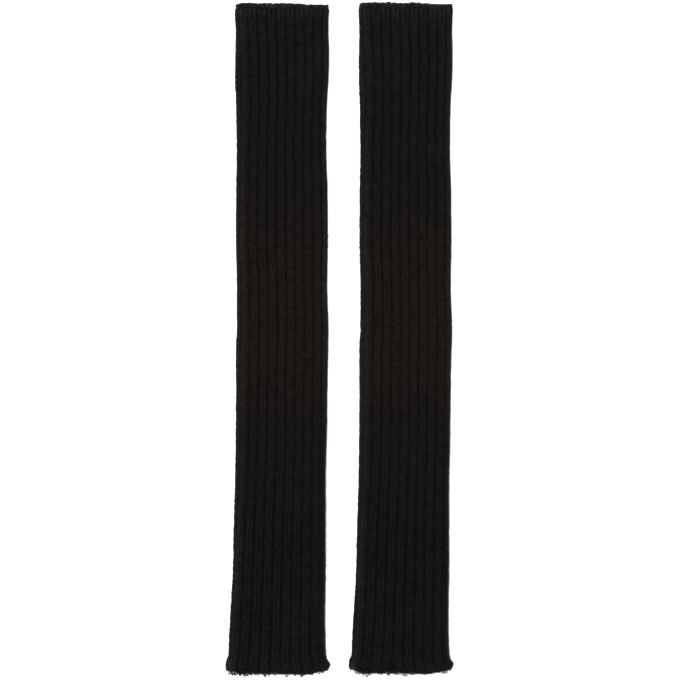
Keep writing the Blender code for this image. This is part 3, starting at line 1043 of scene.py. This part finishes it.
def layStitches(name, guides, rows, seed, values, stretch):
    sizes = ribSizes | {
        "Rows": rows,
        "Yarn Depth": stitch["depth"] * mm,
        "Loose Turn": stitch["looseTurn"],
        "Loose Size": stitch["looseSize"],
        "Loose Place": stitch["loosePlace"] * mm,
        "Seed": round(seed * 10),
        "Material": wools[stretch + "Wool"],
    } | values
    piece = applyNodes(name, guides, stitchNodes, sizes)
    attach(piece, "root")
    return piece


def layCloth(side, stretch, start, end, place, seed):
    name, node, slot = stretches[stretch]
    mesh = clothMesh(side + name + "Flat", start, end, place, seed)
    piece = applyNodes(side + name, mesh, clothNodes, ribSizes | {"Material": wools[stretch + "Cloth"]})
    node = side + node
    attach(piece, "root")
    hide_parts(node)
    return piece


def armWarmer(side, seed):
    place = placeOf(side)
    length, band = tube["length"], tube["bandLength"]
    castOff = length - tube["castOffLength"]
    middle = (band + castOff) / 2
    laid = [layCloth(side, stretch, low, high, place, seed) for stretch, low, high in
            (("rib", band, castOff), ("band", 0.0, band), ("edge", castOff, length))]
    print(side, "cloth laid")

    loose = applyNodes(side + "WoolFibres", laid[0].data.copy(), fibreNodes, {
        "Density": fibres["perSquareMetre"],
        "Fibre": yarns["woolFibre"],
        "Lift": fibres["lift"] * mm,
        "Smallest": fibres["smallest"],
        "Light": fibres["light"],
        "Seed": round(seed * 10),
        "Material": wools["ribWool"],
    })
    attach(loose, "root")

    # The front and both folds show, so their ribs get full stitches. Ribs are numbered from -1.
    every = range(-1, tube["frontRibs"] + tube["backRibs"] - 1)
    firstBack, lastBack = tube["frontRibs"] - 1, every[-1]
    shown, hidden = [lastBack, *range(-1, firstBack)], range(firstBack, lastBack)
    halves = [rib + half for rib in every for half in (0.0, 0.5)]
    bandGrooves = grooveLines(halves, stitch["bandPurlWidth"], stitch["bandGrooveLight"])
    rope, last = edges["rope"], length - cloth["edgeLoops"]
    rows = round((middle - band) / stitch["rowHeight"])
    ladderRows = round((castOff - ladder["start"]) / stitch["rowHeight"])
    bandRows, edgeRows = stitch["bandRows"], stitch["edgeRows"]
    full, plain = {"Stitch": yarns["frontStitch"]}, {"Stitch": yarns["backStitch"]}
    purl = {"Stitch": yarns["purlStitch"], "Yarn Depth": stitch["purlDepth"] * mm}
    on, onBand, onEdge = [], [], []
    piecesOf = {"rib": on, "band": onBand, "edge": onEdge}
    for name, stretch, lines, low, high, count, values in (
        ("FrontStitchesUpper", "rib", columnLines(shown), band, middle, rows, full),
        ("FrontStitchesLower", "rib", columnLines(shown), middle, castOff, rows, full),
        ("BackStitches", "rib", columnLines(hidden), band, castOff, 2 * rows, plain),
        ("GrooveStitches", "rib", grooveLines(range(-1, firstBack + 1)), band, castOff, 2 * rows, purl),
        ("LadderStitches", "rib", ladderLine(), ladder["start"], castOff, ladderRows, purl),
        ("StartBandStitches", "band", columnLines(every), rope, band, bandRows, full),
        ("StartBandPurls", "band", bandGrooves, rope, band, bandRows, purl),
        ("CastOffStitches", "edge", columnLines(every), castOff, last, edgeRows, full),
        ("CastOffPurls", "edge", grooveLines(every), castOff, last, edgeRows, purl),
    ):
        guides = guideMesh(side + name + "Guides", lines, low, high, count, place, seed)
        piecesOf[stretch].append(layStitches(side + name, guides, count, seed, values, stretch))
    for rim in rims:
        guides = rimMesh(side + rim.name + "Rim", rim, place, seed)
        values = {
            "Stitch": yarns[rim.yarn],
            "Rib Height": 0.0,
            "Yarn Depth": 0.0,
            "Loose Turn": rim.turn,
            "Loose Size": rim.size,
            "Loose Place": rim.place * mm,
        }
        piece = layStitches(side + rim.name, guides, rim.count, seed + rim.draw, values, rim.stretch)
        piecesOf[rim.stretch].append(piece)
    around = sectionAt(tube["cutAt"]).round  # the cut size is taken all round the tube
    on.append(loose)
    print(side, "stitches laid")


armWarmer("left", 1.0)
armWarmer("right", 2.0)
for thing in yarns.values():
    bpy.data.objects.remove(thing, do_unlink=True)

# Studio: a pale floor, a soft box from the upper left and even light all round
studio = {
    "floorSize": 24.0,
    "floorDrop": 0.9,  # mm below the knitting's underside
    "floorPaint": (0.93, 0.93, 0.93, 1.0),
    "floorRoughness": 0.9,
    "floorGlow": 0.75,  # the floor is a lit table, so it stays white under the cloth's edge
    "viewSide": 591.6,  # mm across the picture
    "viewCentre": (0.26, -0.7),
    "lens": 180.0,
    "sensor": 36.0,
    "white": (1.0, 1.0, 1.0, 1.0),
    "world": 0.45,
    "softBox": 120.0,  # watts
    "softBoxSide": 3.0,
    "softBoxPlace": (-0.5, 0.7, 4.6),  # above the camera
}


def makeStudio():
    bpy.ops.mesh.primitive_plane_add(size=studio["floorSize"],
                                     location=(0, 0, -studio["floorDrop"] * mm))
    floor = bpy.context.object
    floor.name = "floor"
    paint = bpy.data.materials.new("paleFloor")
    paint.use_nodes = True
    feed(paint.node_tree, paint.node_tree.nodes["Principled BSDF"], {
        "Base Color": studio["floorPaint"],
        "Roughness": studio["floorRoughness"],
        "Emission Color": studio["white"],
        "Emission Strength": studio["floorGlow"],
    })
    floor.data.materials.append(paint)
    world = bpy.data.worlds.new("evenLight")
    bpy.context.scene.world = world
    world.use_nodes = True
    light = {"Color": studio["white"], "Strength": studio["world"]}
    feed(world.node_tree, world.node_tree.nodes["Background"], light)
    lamp = bpy.data.lights.new("softBox", "AREA")
    lamp.energy = studio["softBox"]
    lamp.size = studio["softBoxSide"]
    box = newObject("softBox", lamp)
    box.location = studio["softBoxPlace"]
    box.rotation_euler = (-box.location).to_track_quat("-Z", "Y").to_euler()
    lens = bpy.data.cameras.new("fromAbove")
    lens.lens = studio["lens"]
    lens.sensor_width = studio["sensor"]
    camera = newObject("fromAbove", lens)
    away = studio["viewSide"] * mm * studio["lens"] / studio["sensor"]
    x, y = studio["viewCentre"]
    camera.location = (x * mm, y * mm, away)
    bpy.context.scene.camera = camera
    bpy.context.scene.view_settings.view_transform = "Standard"


makeStudio()
print("studio set")
